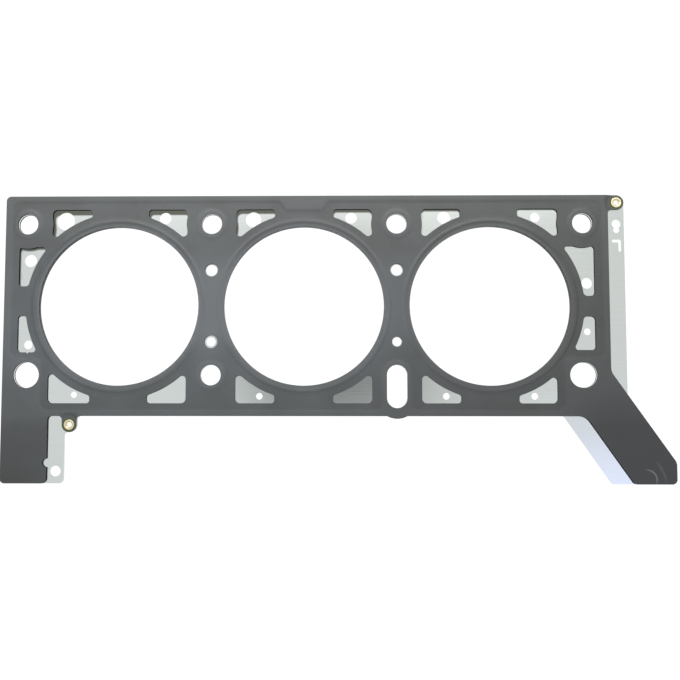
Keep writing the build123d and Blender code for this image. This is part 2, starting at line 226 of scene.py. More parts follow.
# Metering holes of the spacer, as in the CAD: bore, x from its centre, distance in from the window's far
# edge and diameter; at the ends: side, distance in from the window's outer edge, y and diameter.
TOP_METERING = [
    (-1, -0.0341, 0.0070, 0.0112),
    (-1, 0.0280, 0.0053, 0.0074),
    (0, -0.0315, 0.0062, 0.0096),
    (0, 0.0291, 0.0053, 0.0071),
    (1, -0.0279, 0.0052, 0.0080),
    (1, 0.0284, 0.0052, 0.0061),
]
LOW_METERING = [
    (-1, -0.0270, 0.0052, 0.0039),
    (0, -0.0272, 0.0043, 0.0040),
    (1, -0.0272, 0.0043, 0.0041),
    (1, 0.0266, 0.0043, 0.0042),
]
SIDE_METERING = [
    (-1, 0.0068, 0.0283, 0.0077),
    (-1, 0.0064, -0.0241, 0.0054),
    (1, 0.0047, 0.0137, 0.0067),
    (1, 0.0049, -0.0162, 0.0042),
]
# Scuffs: the arc's centre, its radius and half its width, then its middle, half its length and strength.
SCUFFS = [
    ((0.2070, -0.1063, 0), 0.0062, 0.0005, (0.2120, -0.1030, 0), 0.0075, 0.5),
    ((0.1955, -0.1115, 0), 0.0237, 0.0008, (0.2167, -0.1009, 0), 0.009, 0.14),
]
# Strip lamps: name, which is also that of its power, place, aim, length and width, tint, and whether
# polished metal mirrors it.
STRIPS = [
    ("key_strip", (-0.04, 0.3, 0.33), (-0.04, 0, 0), (0.8, 0.08), "FFFFFF", True),
    ("top_strip", (-0.02, 0.17, 0.2), (-0.02, 0.12, 0), (0.8, 0.08), "FFFFFF", False),
    ("web_strip", (-0.08, -0.01, 0.07), (-0.08, -0.01, 0), (0.26, 0.02), "E2EEFF", False),
]
FLOOR_W = 12.0  # far wider than the photo's view
# The camera: its place in x and y, its shift, and the directions of its right, its top and its back.
CAMERA_PLACE = (0.018775, -0.064161)
CAMERA_SHIFT = (0.0159, 0.0659)
CAMERA_AXES = [
    (0.999956, 0.000548, -0.009300),
    (-0.000129, 0.998988, 0.044983),
    (0.009315, -0.044980, 0.998944),
]


# Where each piece lies. Everything below works in metres, in the CAD's frame.


class Layout:
    """The places that follow from the sizes, worked out once for all pieces."""

    def __init__(self, scene):
        s = self.s = scene.gasket_sizes
        e = self.e = scene.emboss_sizes
        pitch = s.bore_pitch
        self.bore_r = s.bore_d / 2
        self.bore_xs = [-pitch, 0, pitch]
        self.bolt_xs = [-1.5 * pitch, -0.5 * pitch, 0.5 * pitch, 1.5 * pitch]
        self.slot_end_y = s.low_bolt_y - (s.slot_l - s.slot_w)
        self.dowel_x = self.bolt_xs[3] - s.dowel_inset
        self.left_x = -pitch - self.bore_r - s.left_margin
        self.right_x = pitch + self.bore_r + s.right_margin
        self.top_y = self.bore_r + s.top_margin
        self.low_y = -self.bore_r - s.low_margin
        self.leg_y = self.low_y - s.leg_l
        self.left_leg_x = self.left_x + s.left_leg_w
        self.right_leg_x = self.right_x + s.right_leg_reach
        self.shoulder_y = self.low_y + s.right_leg_shoulder
        self.knee_y = self.leg_y + s.right_leg_knee
        self.leg_slope = (self.shoulder_y - self.knee_y) / s.right_leg_reach
        self.leg_lean = s.leg_l / self.leg_slope
        self.right_tab = (self.right_x + s.tab_reach_right, self.top_y - s.tab_r)
        self.left_tab = (self.left_leg_x + s.left_tab_gap, self.low_y - s.tab_reach_left)
        self.tabs = (self.right_tab, self.left_tab)
        self.dish_r = s.tab_r + e.dish_margin
        self.pads = [(x, s.top_bolt_y) for x in self.bolt_xs] + [(self.bolt_xs[1], s.low_bolt_y)]
        self.pad_r = s.bolt_d / 2 + e.pad_rim
        self.window_arc_r = self.bore_r + s.window_land
        self.window_y = math.sqrt(self.window_arc_r**2 - s.window_tip_x**2) + s.window_tip_w
        self.side_arc_r = self.bore_r + s.side_land
        self.low_sheet_z = e.bead_h
        self.spacer_z = self.low_sheet_z + e.sheet_t + e.play
        self.mid_z = self.spacer_z + e.spacer_t / 2
        self.top_sheet_z = self.spacer_z + e.spacer_t + e.play


# Outlines. Each is a closed loop of points, an array of x and y.


def arc(x, y, r, start, end, spacing):
    """Points on a circle of radius r round (x, y), at equal angles from start to end in degrees.

    They lie no more than 6 degrees apart.
    """
    turn = abs(end - start)
    steps = max(4, math.ceil(math.radians(turn) * r / spacing), math.ceil(turn / 6))
    a = np.radians(np.linspace(start, end, steps + 1))
    return np.column_stack([x + r * np.cos(a), y + r * np.sin(a)])


def circle(x, y, d, spacing):
    """A full circle of diameter d, without repeating its first point."""
    return arc(x, y, d / 2, 0, 360, spacing)[:-1]


def corner_arc(before, corner, after, r, spacing):
    """A corner rounded by an arc that touches both its sides.

    The arc's centre lies on the corner's bisector, at r over the sine of half the corner's angle, and
    the arc sweeps from the foot of the centre on one side to its foot on the other.
    """
    a = np.subtract(before, corner) / np.linalg.norm(np.subtract(before, corner))
    b = np.subtract(after, corner) / np.linalg.norm(np.subtract(after, corner))
    half = math.acos(np.clip(a @ b, -1, 1)) / 2
    bisector = (a + b) / np.linalg.norm(a + b)
    centre = corner + bisector * r / math.sin(half)
    foot_a = corner + a * r / math.tan(half) - centre
    foot_b = corner + b * r / math.tan(half) - centre
    start = math.degrees(math.atan2(foot_a[1], foot_a[0]))
    sweep = math.degrees(math.atan2(foot_b[1], foot_b[0])) - start
    sweep = (sweep + 180) % 360 - 180
    return arc(*centre, r, start, start + sweep, spacing)


def loop(items, spacing):
    """A closed, counter-clockwise loop through corners and arcs, with straight runs between them.

    An item of three values is a corner: x, y and its rounding radius. An item of five values is an arc:
    centre x and y, radius, and start and end angle in degrees. Straight runs are divided evenly, into
    steps of at most twice the spacing.
    """
    ends = []
    for item in items:
        if len(item) == 3:
            ends.append((np.array(item[:2]), np.array(item[:2])))
        else:
            points = arc(*item, spacing)
            ends.append((points[0], points[-1]))
    runs = []
    for i, item in enumerate(items):
        if len(item) == 5:
            runs.append(arc(*item, spacing))
        elif item[2] == 0:
            runs.append(np.array([item[:2]]))
        else:
            before = ends[i - 1][1]
            after = ends[(i + 1) % len(items)][0]
            runs.append(corner_arc(before, np.array(item[:2]), after, item[2], spacing))
    parts = []
    for i, run in enumerate(runs):
        start = run[-1]
        end = runs[(i + 1) % len(runs)][0]
        steps = max(1, math.ceil(np.linalg.norm(end - start) / (2 * spacing)))
        t = np.linspace(0, 1, steps + 1)[1:, None]
        straight = start + (end - start) * t
        parts += [run, straight[:-1]]
    points = np.vstack(parts)
    x, y = points.T
    area = np.sum(x * np.roll(y, -1) - y * np.roll(x, -1))
    return points if area > 0 else points[::-1]


def slot_loop(x, y, long, wide, spacing, upright=False):
    """A slot with round ends: two half circles a straight run apart."""
    h = (long - wide) / 2
    r = wide / 2
    if upright:
        return loop([(x, y + h, r, 0, 180), (x, y - h, r, 180, 360)], spacing)
    return loop([(x + h, y, r, -90, 90), (x - h, y, r, 90, 270)], spacing)


def lug_arc(p):
    """The round lug below the slot, where it stands out of the lower edge, from right to left."""
    r = p.s.slot_w / 2 + p.s.slot_rim
    half = math.degrees(math.acos((p.slot_end_y - p.low_y) / r))
    return (p.bolt_xs[2], p.slot_end_y, r, 270 + half, 270 - half)


def left_tab_items(p):
    """The lower left tab, from right to left, with a small fillet at each root."""
    s = p.s
    x, y = p.left_tab
    return [
        (x + s.tab_r, p.low_y, s.tab_root_r),
        (x, y, s.tab_r, 0, -180),
        (x - s.tab_r, p.low_y, s.tab_root_r),
    ]


def coated_outline(p):
    """The outline of the coated sheets, clockwise from the upper left corner."""
    s = p.s
    inner_x = p.right_x - s.right_leg_inset
    x, y = p.right_tab
    items = [
        (p.left_x, p.top_y, s.corner_r),
        (x, y, s.tab_r, 90, -90),
        (p.right_x, y - s.tab_r, s.inner_r),
        (p.right_x, p.shoulder_y, s.leg_bend_r),
        (p.right_leg_x, p.knee_y, s.leg_knee_r),
        (p.right_leg_x, p.leg_y, s.corner_r),
        (inner_x + p.leg_lean, p.leg_y, s.inner_r),
        (inner_x, p.low_y, s.leg_bend_r),
        lug_arc(p),
        *left_tab_items(p),
        (p.left_leg_x, p.low_y, s.inner_r),
        (p.left_leg_x, p.leg_y + s.notch_rise, s.notch_r, 90, 270),
        (p.left_leg_x, p.leg_y, s.corner_r),
        (p.left_x, p.leg_y, s.corner_r),
    ]
    return loop(items, p.e.fine_spacing)


def spacer_outline(p):
    """The outline of the spacer, clockwise from the upper left corner, with its three strips."""
    s = p.s
    strip_x = p.right_x + s.right_strip_w
    inner_x = p.right_x - s.right_leg_inset - s.slant_strip_w
    left_strip_x = p.left_leg_x + s.left_strip_w
    x, y = p.left_tab
    items = [
        (p.left_x, p.top_y, s.corner_r),
        (strip_x, p.top_y, s.tab_r),
        (strip_x, p.shoulder_y - s.right_strip_w * p.leg_slope, s.corner_r),
        (p.right_leg_x, p.knee_y, s.leg_knee_r),
        (p.right_leg_x, p.leg_y, s.corner_r),
        (inner_x + p.leg_lean, p.leg_y, s.inner_r),
        (inner_x, p.low_y, s.inner_r),
        lug_arc(p),
        (x + s.tab_r, p.low_y, s.tab_root_r),
        (x, y, s.tab_r, 0, -90),
        (left_strip_x, y - s.tab_r, s.tab_root_r),
        (left_strip_x, p.leg_y, s.corner_r),
        (p.left_x, p.leg_y, s.corner_r),
    ]
    return loop(items, p.e.fine_spacing)


def low_outline(p):
    """The foot of the half bead: the edge of the low inner area of a coated sheet, clockwise."""
    s, e = p.s, p.e
    x0, x1 = p.left_x + e.rim_left, p.right_x - e.rim_right
    y0, y1 = p.low_y + e.rim_low, p.top_y - e.rim_top
    in_x0 = -s.bore_pitch - s.left_end_window_x - e.window_rim
    in_x1 = s.bore_pitch + s.right_end_window_x + e.window_rim
    dowel_y = s.low_bolt_y + s.dowel_d / 2 + e.dowel_rim
    dip_out = e.dip_half + e.dip_slant
    r = s.slot_w / 2 + e.pad_rim
    slot_x = p.bolt_xs[2]
    items = [
        (x0, y1, e.step_corner),
        (-dip_out, y1, e.dip_corner),
        (-e.dip_half, y1 - e.dip_depth, e.dip_corner),
        (e.dip_half, y1 - e.dip_depth, e.dip_corner),
        (dip_out, y1, e.dip_corner),
        (x1, y1, e.step_corner),
        (x1, dowel_y, e.step_corner),
        (in_x1, dowel_y, e.step_corner),
        (in_x1, y0, e.step_corner),
        (slot_x + r, y0, e.dip_corner),
        (slot_x, s.low_bolt_y, r, 0, 180),
        (slot_x - r, y0, e.dip_corner),
        (in_x0, y0, e.step_corner),
        (in_x0, dowel_y, e.step_corner),
        (x0, dowel_y, e.step_corner),
    ]
    return loop(items, e.fine_spacing)


def relieved(points, bolt, radius):
    """A window's outline whose points inside a circle round a bolt are pushed out on to that circle."""
    away = points - bolt
    distance = np.linalg.norm(away, axis=1, keepdims=True)
    return bolt + away * np.maximum(1, radius / distance)


def bore_window(p, bore_x, way, up, tip_x, out_x):
    """A cooling window beside a bore.

    way is -1 to the left of the bore and 1 to its right, and up is 1 above the bores and -1 below. It is
    worked out for the upper right of a bore and then mirrored. Where a straight side of the window meets
    the arc round the bore, the rounding's centre is its radius r inside the side and r outside that arc.
    """
    s = p.s
    far, big = p.window_y, p.window_arc_r
    tip_r = (far - math.sqrt(big**2 - tip_x**2)) * p.e.window_rounding
    point_r = s.window_point_r
    tip_cx, point_cx = tip_x + tip_r, out_x - point_r
    tip_cy = math.sqrt((big + tip_r) ** 2 - tip_cx**2)
    point_cy = math.sqrt((big + point_r) ** 2 - point_cx**2)
    tip_a = math.degrees(math.atan2(tip_cy, tip_cx))
    point_a = math.degrees(math.atan2(point_cy, point_cx))
    items = [
        (out_x, far, s.window_corner_r),
        (tip_x, far, tip_r),
        (tip_cx, tip_cy, tip_r, 180, 180 + tip_a),
        (0, 0, big, tip_a, point_a),
        (point_cx, point_cy, point_r, 180 + point_a, 360),
    ]
    points = loop(items, p.e.fine_spacing)
    if up > 0:
        bolt_x = s.bore_pitch / 2
        points = relieved(points, (bolt_x, s.top_bolt_y), bolt_x - out_x + s.window_relief)
    points = points * (way, up) + (bore_x, 0)
    return points if way * up > 0 else points[::-1]


def bore_windows(p):
    """The four cooling windows of each bore."""
    s = p.s
    windows = []
    for bore_x in p.bore_xs:
        for way in (-1, 1):
            tip_x, low_out = s.window_tip_x, s.window_out_x
            # The windows on the outer sides of the end bores have sizes of their own.
            if bore_x == way * s.bore_pitch:
                tip_x = s.end_window_tip_x
                low_out = s.left_end_window_x if way < 0 else s.right_end_window_x
            windows.append(bore_window(p, bore_x, way, 1, tip_x, s.window_out_x))
            windows.append(bore_window(p, bore_x, way, -1, tip_x, low_out))
    return windows


def side_window(p, way, near_y, point_y, relief=False, nick=False):
    """A window at one end of the gasket, between its straight outer edge and an arc round the end bore.

    It is worked out for the upper right and then mirrored. near_y and point_y are the heights of its
    ends. relief cuts the window back round the bolt beside it.
    """
    s = p.s
    up = 1 if point_y > 0 else -1
    near_y, point_y = abs(near_y), abs(point_y)
    edge = p.right_x - s.side_edge if way > 0 else -p.left_x - s.side_edge
    outer = edge - s.bore_pitch
    big = p.side_arc_r
    near_r = (outer - math.sqrt(big**2 - near_y**2)) * p.e.side_rounding
    point_r = s.side_point_r
    near_cy, point_cy = near_y + near_r, point_y - point_r
    near_cx = math.sqrt((big + near_r) ** 2 - near_cy**2)
    point_cx = math.sqrt((big + point_r) ** 2 - point_cy**2)
    near_a = math.degrees(math.atan2(near_cy, near_cx))
    point_a = math.degrees(math.atan2(point_cy, point_cx))
    items = [
        (outer, near_y, near_r),
        (outer, point_y, s.side_corner_r),
        (point_cx, point_cy, point_r, 90, 180 + point_a),
        (0, 0, big, point_a, near_a),
        (near_cx, near_cy, near_r, 180 + near_a, 270),
    ]
    if nick:
        x = -p.left_x - s.nick_x - s.bore_pitch
        items.insert(2, (x, point_y, s.nick_r, 0, 180))
    points = loop(items, p.e.fine_spacing)
    if relief:
        points = relieved(points, (p.bolt_xs[3] - s.bore_pitch, s.top_bolt_y), s.side_relief_r)
    points = (points + (s.bore_pitch, 0)) * (way, up)
    return points if way * up > 0 else points[::-1]


def side_windows(p):
    """The four windows at the two ends of the gasket."""
    return [
        side_window(p, -1, *LEFT_UPPER_SPAN, relief=True),
        side_window(p, -1, *LEFT_LOWER_SPAN, nick=True),
        side_window(p, 1, *RIGHT_UPPER_SPAN, relief=True),
        side_window(p, 1, *RIGHT_LOWER_SPAN),
    ]


def steam_holes(p, top_d, low_d):
    """The four small holes between the bores."""
    s = p.s
    loops = []
    for i in range(2):
        loops.append(circle(p.bolt_xs[1 + i], s.steam_top_y, top_d[i], p.e.fine_spacing))
        loops.append(circle(p.bolt_xs[1 + i], s.steam_low_y, low_d[i], p.e.fine_spacing))
    return loops


def through_holes(p):
    """The openings that every sheet has alike."""
    s, fine = p.s, p.e.fine_spacing
    eyelet_d = p.e.eyelet_barrel_d + 2 * p.e.eyelet_clearance
    loops = [circle(x, 0, s.bore_d, fine) for x in p.bore_xs]
    loops += [circle(x, s.top_bolt_y, s.bolt_d, fine) for x in p.bolt_xs]
    loops.append(circle(p.bolt_xs[1], s.low_bolt_y, s.bolt_d, fine))
    loops.append(circle(-p.dowel_x, s.low_bolt_y, s.dowel_d, fine))
    loops.append(slot_loop(p.dowel_x, s.low_bolt_y, s.oblong_l, s.oblong_w, fine))
    slot_y = (s.low_bolt_y + p.slot_end_y) / 2
    loops.append(slot_loop(p.bolt_xs[2], slot_y, s.slot_l, s.slot_w, fine, upright=True))
    loops += [circle(x, y, eyelet_d, fine / 2) for x, y in p.tabs]
    return loops


def metering_holes(p):
    """The small round holes that only the spacer has, inside the windows."""
    s = p.s
    edge = {-1: p.left_x + s.side_edge, 1: p.right_x - s.side_edge}
    places = [(i * s.bore_pitch + x, p.window_y - inset, d) for i, x, inset, d in TOP_METERING]
    places += [(i * s.bore_pitch + x, inset - p.window_y, d) for i, x, inset, d in LOW_METERING]
    places += [(edge[way] - way * inset, y, d) for way, inset, y, d in SIDE_METERING]
    return [circle(x, y, d, p.e.fine_spacing / 2) for x, y, d in places]


def strip_cuts(p):
    """The openings in the spacer's strips: a round hole, a keyhole and a right-angled cut."""
    s, fine = p.s, p.e.fine_spacing / 2
    hole = circle(p.left_leg_x + s.left_strip_w / 2, p.leg_y + s.strip_hole_rise, s.strip_hole_d, fine)
    x = p.right_tab[0]
    head, foot, drop = s.keyhole_head_d / 2, s.keyhole_foot_d / 2, s.keyhole_drop
    waist_y = (drop**2 + head**2 - foot**2) / (2 * drop)
    head_a = math.degrees(math.asin(waist_y / head))
    foot_a = math.degrees(math.asin((drop - waist_y) / foot))
    keyhole = loop(
        [
            (x, s.keyhole_y, head, -head_a, 180 + head_a),
            (x, s.keyhole_y - drop, foot, 180 - foot_a, 360 + foot_a),
        ],
        fine,
    )
    r = s.angle_cut_t / 2
    left = x - s.angle_cut_w / 2 + r
    right = x + s.angle_cut_w / 2 - r
    foot_y = s.angle_cut_y - s.angle_cut_h + 2 * r
    angle = loop(
        [
            (right, s.angle_cut_y, r, 0, 90),
            (left, s.angle_cut_y, r, 90, 270),
            (right - r, s.angle_cut_y - r, 0),
            (right, foot_y, r, 180, 360),
        ],
        fine,
    )
    return [hole, keyhole, angle]


# Surfaces


def away(points, x, y):
    """Distance of each point from (x, y)."""
    return np.hypot(points[:, 0] - x, points[:, 1] - y)


def batches(points):
    """The points in groups of about 2000, to spare memory."""
    return np.array_split(points, max(1, len(points) // 2000))


def inside(points, loops):
    """Which points lie inside the loops, by the even-odd rule.

    A point is inside when a ray from it towards +X crosses the loops an odd number of times. A run from
    a to b is crossed when one end is above the point and the other is not, and the crossing is to its
    right.
    """
    a = np.vstack(loops)
    b = np.vstack([np.roll(outline, -1, axis=0) for outline in loops])
    slope = (b[:, 0] - a[:, 0]) / np.where(a[:, 1] == b[:, 1], 1, b[:, 1] - a[:, 1])
    found = []
    for x, y in (batch.T[:, :, None] for batch in batches(points)):
        spans = (a[:, 1] > y) != (b[:, 1] > y)
        right = x < a[:, 0] + (y - a[:, 1]) * slope
        found.append(np.count_nonzero(spans & right, axis=1) % 2 == 1)
    return np.concatenate(found)


def signed_distance(points, outline):
    """Distance to a closed loop, positive outside it: the least distance to any of its runs."""
    a = outline
    run = np.roll(outline, -1, axis=0) - a
    # A repeated point makes a run of no length, which must not divide by 0.
    squared = np.maximum(np.sum(run**2, axis=1), 1e-18)
    found = []
    for batch in batches(points):
        offset = batch[:, None, :] - a
        t = np.clip(np.sum(offset * run, axis=2) / squared, 0, 1)
        gap = offset - run * t[:, :, None]
        found.append(np.sqrt(np.min(np.sum(gap**2, axis=2), axis=1)))
    distance = np.concatenate(found)
    return np.where(inside(points, [outline]), -distance, distance)


def ease(t):
    """An S-curve from 0 to 1: three t squared minus two t cubed, level at both ends."""
    t = np.clip(t, 0, 1)
    return t * t * (3 - 2 * t)


def rise(value, start, run):
    """An S-curve that leaves 0 where the value is start and reaches 1 a run further on."""
    return ease((value - start) / run)


def raised_share(p, points, low):
    """How far up the half bead or a pad each point lies, from 0 at its foot to 1 at its top.

    Both rise by an S-curve over the step's run, measured outwards from the foot of the step or inwards
    from the foot of a pad.
    """
    run = p.e.step_run
    raised = ease(signed_distance(points, low) / run)
    for x, y in p.pads:
        raised = np.maximum(raised, ease((p.pad_r - away(points, x, y)) / run))
    return raised


def sheet_height(p, points, raised):
    """Height of a coated sheet's underside above its low area, at each point.

    It is the raised share of the step's height, and across each full bead one wave of a raised cosine is
    added. Round each eyelet a dish falls to the spacer by an S-curve.
    """
    e = p.e
    height = raised * e.step_h
    for x in p.bore_xs:
        across = (away(points, x, 0) - p.bore_r - e.bead_offset) / (e.bead_w / 2)
        height += np.where(abs(across) < 1, e.bead_h * (1 + np.cos(np.pi * across)) / 2, 0)
    for x, y in p.tabs:
        out = (away(points, x, y) - p.dish_r) / e.dish_run
        height = np.where(out < 1, -e.play + (height + e.play) * ease(out), height)
    return height


def relief_points(p, low):
    """Mesh points that follow the embossing.

    They are 13 rings across each bead, 6 down each pad and 8 up each dish, and 6 lines up the half bead,
    each of which is the foot of the step moved outwards along its own normals.
    """
    e = p.e
    fine = e.fine_spacing
    rings = []
    for across in np.linspace(-1, 1, 13):
        r = p.bore_r + e.bead_offset + across * e.bead_w / 2
        rings += [circle(x, 0, 2 * r, 1.4 * fine) for x in p.bore_xs]
    for t in np.linspace(0, 1, 6):
        rings += [circle(x, y, 2 * (p.pad_r - t * e.step_run), fine) for x, y in p.pads]
    for t in np.linspace(0, 1, 8):
        rings += [circle(x, y, 2 * (p.dish_r + t * e.dish_run), fine) for x, y in p.tabs]
    along = np.roll(low, -1, axis=0) - np.roll(low, 1, axis=0)
    outward = np.column_stack([along[:, 1], -along[:, 0]])
    outward /= np.linalg.norm(outward, axis=1, keepdims=True)
    rings += [low + outward * t * e.step_run for t in np.linspace(0, 1, 6)]
    return np.vstack(rings)


def flat_points(outline, spacing):
    """A triangular lattice of points over a loop's box, every other row moved by half a step."""
    low, high = outline.min(axis=0), outline.max(axis=0)
    x = np.arange(low[0], high[0], spacing)
    y = np.arange(low[1], high[1], spacing * math.sqrt(0.75))
    xs, ys = np.meshgrid(x, y)
    xs[1::2] += spacing / 2
    return np.column_stack([xs.ravel(), ys.ravel()])


def thinned(points, spacing):
    """The points without near doubles: the first point of each cell of a square grid is kept."""
    cells = np.round(points / spacing).astype(int)
    _, first = np.unique(cells, axis=0, return_index=True)
    return points[np.sort(first)]


def tiled(loops, free):
    """A sheet with holes cut into triangles: its points and its counter-clockwise triangles.

    The loops and the free points inside them go through a constrained Delaunay triangulation. A triangle
    stays if its centre is inside the loops by the even-odd rule.
    """
    free = free[inside(free, loops)]
    points = np.vstack(loops + [free])
    edges = []
    start = 0
    for outline in loops:
        n = np.arange(start, start + len(outline))
        edges += np.column_stack([n, np.roll(n, -1)]).tolist()
        start += len(outline)
    corners = [Vector(c) for c in points.tolist()]
    same = 1e-8  # points nearer than this are one
    sliver = 1e-13  # twice the area of a triangle too thin to keep
    result = delaunay_2d_cdt(corners, edges, [], 0, same, False)
    points = np.array([tuple(v) for v in result[0]])
    faces = np.array(result[2])
    a, b, c = points[faces[:, 0]], points[faces[:, 1]], points[faces[:, 2]]
    turn = (b[:, 0] - a[:, 0]) * (c[:, 1] - a[:, 1]) - (b[:, 1] - a[:, 1]) * (c[:, 0] - a[:, 0])
    faces = np.where(turn[:, None] > 0, faces, faces[:, ::-1])
    faces = faces[abs(turn) > sliver]
    centres = points[faces].mean(axis=1)
    faces = faces[inside(centres, loops)]
    used, faces = np.unique(faces, return_inverse=True)
    return points[used], faces.reshape(-1, 3)


def shell(points, faces, under, over):
    """A closed sheet from a tiling and the heights of its two sides.

    The lower side is the tiling turned over, the upper side is the tiling as it is, and a wall of two
    triangles stands on each edge that only one triangle has.
    """
    n = len(points)
    edges = np.vstack([faces[:, [0, 1]], faces[:, [1, 2]], faces[:, [2, 0]]])
    key = edges[:, 0] * n + edges[:, 1]
    rim = edges[~np.isin(key, edges[:, 1] * n + edges[:, 0])]
    a, b = rim.T
    walls = np.vstack([np.column_stack([a, b, b + n]), np.column_stack([a, b + n, a + n])])
    corners = np.vstack([np.column_stack([points, under]), np.column_stack([points, over])])
    return corners, np.vstack([faces[:, ::-1], faces + n, walls])


def add_piece(name, corners, faces, node, slot, material, sharp=30, measures=None):
    """A mesh object from arrays, smooth except at edges sharper than an angle in degrees.

    measures holds named values of the corners for the material. The piece rides on the part's one body
    and takes the place of its CAD node.
    """
    mesh = bpy.data.meshes.new(name)
    mesh.vertices.add(len(corners))
    mesh.vertices.foreach_set("co", corners.ravel())
    mesh.loops.add(faces.size)
    mesh.loops.foreach_set("vertex_index", faces.ravel())
    mesh.polygons.add(len(faces))
    mesh.polygons.foreach_set("loop_start", np.arange(0, faces.size, faces.shape[1]))
    mesh.update(calc_edges=True)
    if mesh.validate():
        raise RuntimeError(f"{name}: the mesh has faults")
    for key, values in (measures or {}).items():
        mesh.attributes.new(key, "FLOAT", "POINT").data.foreach_set("value", values)
    mesh.shade_smooth()
    mesh.set_sharp_from_angle(angle=math.radians(sharp))
    mesh.materials.append(material)
    piece = bpy.data.objects.new(name, mesh)
    bpy.context.collection.objects.link(piece)
    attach(piece, "root")
    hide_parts(node)
    return piece


def revolved(profile, x, y, z, steps):
    """A closed profile of radius and height turned round an upright axis, as quads.

    A point at radius r, height h and angle a lies at (x + r cos a, y + r sin a, z + h).
    """
    a = np.linspace(0, 2 * np.pi, steps, endpoint=False)[:, None]
    r, h = profile.T
    grid = np.stack([x + r * np.cos(a), y + r * np.sin(a), z + h + 0 * a], axis=2)
    n = len(profile)
    i, j = np.meshgrid(np.arange(steps), np.arange(n), indexing="ij")
    i2, j2 = (i + 1) % steps, (j + 1) % n
    quads = np.stack([i * n + j, i * n + j2, i2 * n + j2, i2 * n + j], axis=2).reshape(-1, 4)
    return grid.reshape(-1, 3), quads[:, ::-1]


# Values of the mesh points that the materials read


def rubbed(p, points, raised):
    """How thin the coat is at each point, from 0 to 1.

    It is thin on the land beside each bore, which ends 1.3 to 2 mm from it, and on the webs, which end
    15 to 35 mm above and below y = 3 mm. It is a third as thin on the raised rims. The legs, below
    y = -74 mm, take no load and keep their coat.
    """
    x, y = points.T
    out = np.min([away(points, bore_x, 0) for bore_x in p.bore_xs], axis=0) - p.bore_r
    land = 0.6 * (1 - rise(out, 0.0013, 0.0007))
    web = 0.5 * (1 - rise(abs(y - 0.003), 0.015, 0.02)) * (abs(x) < p.s.bore_pitch)
    rim = 0.33 * raised * rise(y, -0.074, 0.006)
    return np.maximum(np.maximum(land, web), rim)


def thick(points):
    """How much painted shade darkens the coat at each point, from 0 to 1: more on the right leg than on
    the left one.

    It grows over 30 mm at the right leg, from x = 150 mm and y = -40 mm on, and over 20 mm and 12 mm at
    the left leg.
    """
    x, y = points.T
    right = 0.6 * rise(x, 0.15, 0.03) * rise(-y, 0.04, 0.03)
    left = 0.25 * rise(-x, 0.14, 0.02) * rise(-y, 0.066, 0.012)
    return right + left


def raised_windows(p):
    """The windows beside which the real outer sheet stands off the spacer, each with its shadow's run.

    The sheet stands off most at the left, and only above y = -10 mm, in full from y = 20 mm. The
    shadow's drop is 2.3 mm at x = 0 and grows by 11 mm for each metre to the left, up to 3.3 mm. Its
    reach to the right is 0.6 mm and grows by 8 mm for each metre, up to 1.9 mm. Both are a little less
    than half as long at the ends of the gasket. Shadows under 0.3 mm are left out.
    """
    windows = [(window, 1.0) for window in bore_windows(p)]
    windows += [(window, 0.45) for window in side_windows(p)]
    found = []
    for window, most in windows:
        x, y = window.mean(axis=0)
        share = most * np.clip((y + 0.01) / 0.03, 0, 1)
        drop = share * np.clip(0.0023 - 0.011 * x, 0, 0.0033)
        reach = share * np.clip(0.0006 - 0.008 * x, 0, 0.0019)
        if drop > 0.0003:
            found.append((window, np.array([reach, -drop])))
    return found


def window_shade(raised, corners):
    """How far each corner lies outside the part of its window that is clear of the window's shadow.

    That part is the window moved by its shadow's run. Corners more than 0.5 mm away from these windows
    get minus 1 mm.
    """
    found = np.full(len(corners), -0.001)
    for window, run in raised:
        low, high = window.min(axis=0) - 0.0005, window.max(axis=0) + 0.0005
        near = np.all((corners[:, :2] > low) & (corners[:, :2] < high), axis=1)
        found[near] = signed_distance(corners[near, :2], window + run)
    return found


# Materials. Wherever an input is named, its value is a plain value or a socket to link to it.


def add_node(tree, kind, inputs=(), **settings):
    """A node with its settings, and its inputs by name or number."""
    node = tree.nodes.new(kind)
    for name, value in settings.items():
        setattr(node, name, value)
    for name, value in dict(inputs).items():
        if isinstance(value, bpy.types.NodeSocket):
            tree.links.new(value, node.inputs[name])
        else:
            node.inputs[name].default_value = value
    return node


def ramp(tree, value, start, end, low=0, high=1, curve="LINEAR"):
    """A socket that runs from low, where the value is start, to high, where it is end."""
    inputs = {"Value": value, "From Min": start, "From Max": end, "To Min": low, "To Max": high}
    return add_node(tree, "ShaderNodeMapRange", inputs, interpolation_type=curve).outputs[0]


def maths(tree, operation, *terms):
    """A socket with the outcome of one operation."""
    return add_node(tree, "ShaderNodeMath", dict(enumerate(terms)), operation=operation).outputs[0]


def blend(tree, share, under, over):
    """A colour socket that goes from under to over with the share."""
    inputs = {0: share, 6: under, 7: over}
    return add_node(tree, "ShaderNodeMix", inputs, data_type="RGBA").outputs[2]


def noise(tree, place, scale, detail, roughness):
    """A socket with soft noise from 0 to 1, of so many waves a metre."""
    inputs = {"Vector": place, "Scale": scale, "Detail": detail, "Roughness": roughness}
    return add_node(tree, "ShaderNodeTexNoise", inputs).outputs["Fac"]


def bumps(tree, height, strength, distance):
    """A socket with normals tilted by a height, which stands for so many metres."""
    inputs = {"Height": height, "Strength": strength, "Distance": distance}
    return add_node(tree, "ShaderNodeBump", inputs).outputs[0]


def flat_distance(tree, place, centre):
    """A socket with the distance of each place from a point, measured along the sheet."""
    flat = add_node(tree, "ShaderNodeVectorMath", {0: place, 1: (1, 1, 0)}, operation="MULTIPLY")
    inputs = {0: flat.outputs["Vector"], 1: centre}
    return add_node(tree, "ShaderNodeVectorMath", inputs, operation="DISTANCE").outputs["Value"]


